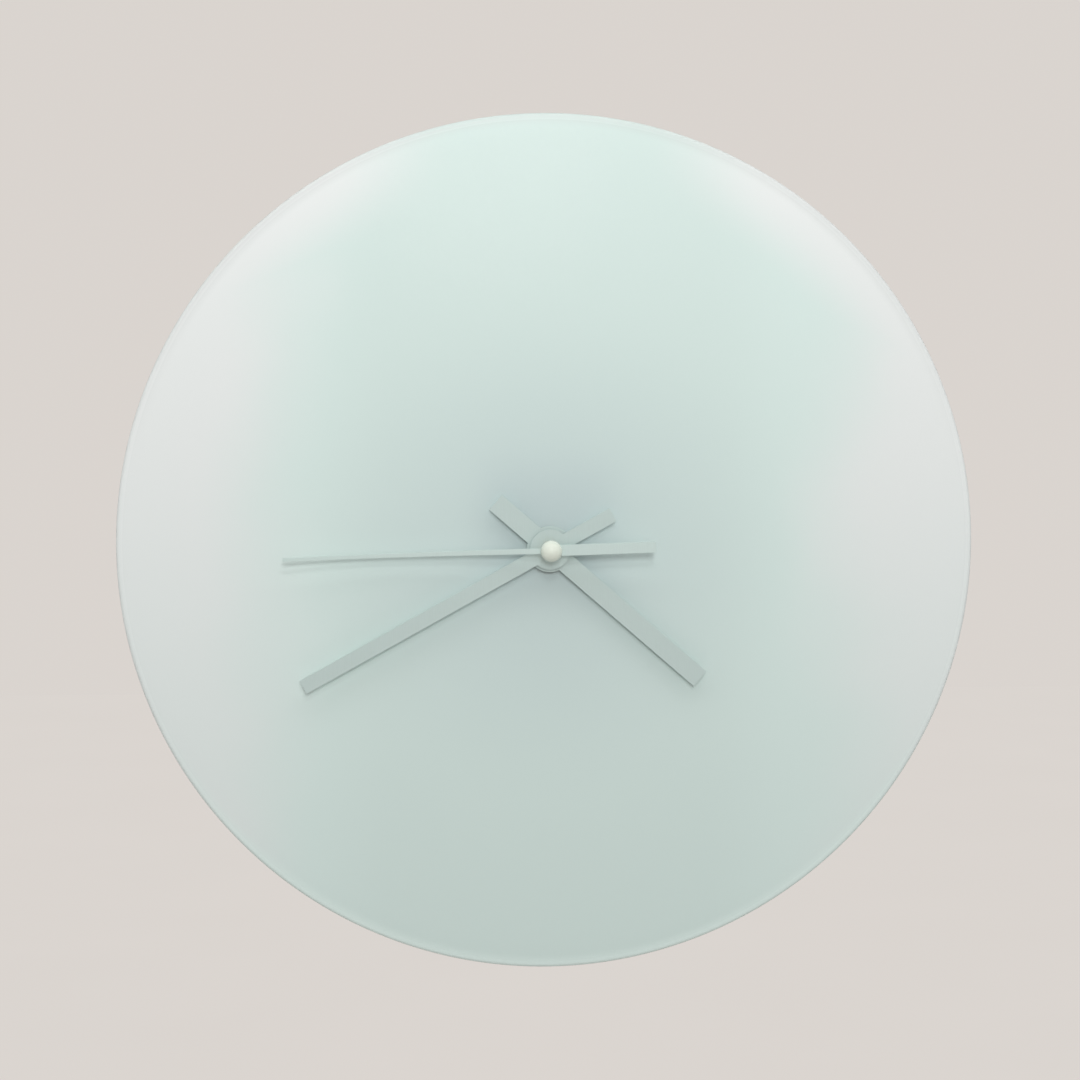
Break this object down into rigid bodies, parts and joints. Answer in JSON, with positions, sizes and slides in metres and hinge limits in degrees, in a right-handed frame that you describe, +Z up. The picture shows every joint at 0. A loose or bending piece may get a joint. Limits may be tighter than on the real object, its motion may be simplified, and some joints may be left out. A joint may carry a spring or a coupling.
{
  "type": "wall clock",
  "caption": "Round frameless frosted-glass wall clock with flat silver hands and a ball cap at the centre, driven by a battery quartz movement that hangs from a loop behind the dial.",
  "frame": {"origin": "centre of the hanging hole, in the plane of the wall", "axes": "+X to the viewer's right, +Y into the wall, +Z up; the dial faces -Y"},
  "size_m": [0.3, 0.0372, 0.3],
  "materials": {
    "frosted_glass": "pale mint float glass, frosted on the back, polished front and edge",
    "gasket_rubber": "soft black rubber",
    "brass": "turned brass",
    "hand_aluminium": "satin silver",
    "cap_ivory": "glossy ivory",
    "case_black": "fine moulded texture",
    "wheel_plastic": "moulded ivory plastic",
    "steel": "bright steel",
    "magnet_grey": "ground magnet",
    "soft_iron": "stamped soft iron",
    "copper_wire": "enamelled copper winding",
    "board_green": "lacquered laminate",
    "chip_black": "cured resin drop",
    "battery_sleeve": null,
    "contact_metal": "nickel-plated spring strip"
  },
  "bodies": {
    "clock_body": {"glass_dial": "frosted_glass", "rubber_gasket": "gasket_rubber", "dial_washer": "brass", "fixing_nut": "brass", "threaded_bush": "brass", "movement_case": "case_black", "back_cover": "case_black", "hanger_loop": "case_black", "train_plate": "case_black", "plate_screws": "steel", "stator": "soft_iron", "coil_core": "soft_iron", "coil_bobbin": "wheel_plastic", "coil_winding": "copper_wire", "circuit_board": "board_green", "clock_chip": "chip_black", "quartz_crystal": "steel", "negative_contact": "contact_metal", "positive_contact": "contact_metal"},
    "hour_work": {"hour_wheel": "wheel_plastic", "hour_collet": "brass", "hour_hand": "hand_aluminium"},
    "minute_work": {"minute_tube": "brass", "minute_collet": "brass", "hand_nut": "brass", "minute_hand": "hand_aluminium"},
    "second_work": {"second_wheel": "wheel_plastic", "second_arbor": "steel", "second_socket": "brass", "second_hand": "hand_aluminium", "centre_cap": "cap_ivory"},
    "third_work": {"third_wheel": "wheel_plastic"},
    "centre_work": {"centre_wheel": "wheel_plastic"},
    "motion_work": {"motion_wheel": "wheel_plastic"},
    "intermediate_work": {"intermediate_wheel": "wheel_plastic"},
    "rotor_work": {"rotor": "wheel_plastic", "rotor_magnet": "magnet_grey"},
    "setting_work": {"setting_stem": "wheel_plastic", "setting_knob": "case_black"},
    "battery": {"battery_cell": "battery_sleeve"}
  },
  "joints": [
    {"name": "minute_turn", "type": "hinge", "parent": "clock_body", "child": "minute_work", "pos_m": [0, 0, -0.0335], "axis": [0, 1, 0], "continuous": true},
    {"name": "hour_turn", "type": "hinge", "parent": "clock_body", "child": "hour_work", "pos_m": [0, 0, -0.0335], "axis": [0, 1, 0], "continuous": true},
    {"name": "motion_turn", "type": "hinge", "parent": "clock_body", "child": "motion_work", "pos_m": [-0.009, 0, -0.0335], "axis": [0, 1, 0], "continuous": true},
    {"name": "setting_turn", "type": "hinge", "parent": "clock_body", "child": "setting_work", "pos_m": [-0.018, 0, -0.0335], "axis": [0, 1, 0], "continuous": true},
    {"name": "second_turn", "type": "hinge", "parent": "clock_body", "child": "second_work", "pos_m": [0, 0, -0.0335], "axis": [0, 1, 0], "continuous": true},
    {"name": "intermediate_turn", "type": "hinge", "parent": "clock_body", "child": "intermediate_work", "pos_m": [0.00846, 0, -0.03042], "axis": [0, 1, 0], "continuous": true},
    {"name": "rotor_turn", "type": "hinge", "parent": "clock_body", "child": "rotor_work", "pos_m": [0.01287, 0, -0.02411], "axis": [0, 1, 0], "continuous": true},
    {"name": "third_turn", "type": "hinge", "parent": "clock_body", "child": "third_work", "pos_m": [0.00495, 0, -0.02493], "axis": [0, 1, 0], "continuous": true},
    {"name": "centre_turn", "type": "hinge", "parent": "clock_body", "child": "centre_work", "pos_m": [0, 0, -0.0335], "axis": [0, 1, 0], "continuous": true},
    {"name": "battery_slide", "type": "slide", "parent": "clock_body", "child": "battery", "axis": [0, 1, 0], "range_m": [0, 0.025]}
  ],
  "couplings": [
    {"joint": "hour_turn", "follows": "minute_turn", "ratio": 0.083333},
    {"joint": "motion_turn", "follows": "minute_turn", "ratio": -0.33333},
    {"joint": "setting_turn", "follows": "minute_turn", "ratio": 1},
    {"joint": "intermediate_turn", "follows": "second_turn", "ratio": -5},
    {"joint": "rotor_turn", "follows": "second_turn", "ratio": 30},
    {"joint": "third_turn", "follows": "second_turn", "ratio": -0.13333},
    {"joint": "centre_turn", "follows": "second_turn", "ratio": 0.016667}
  ]
}
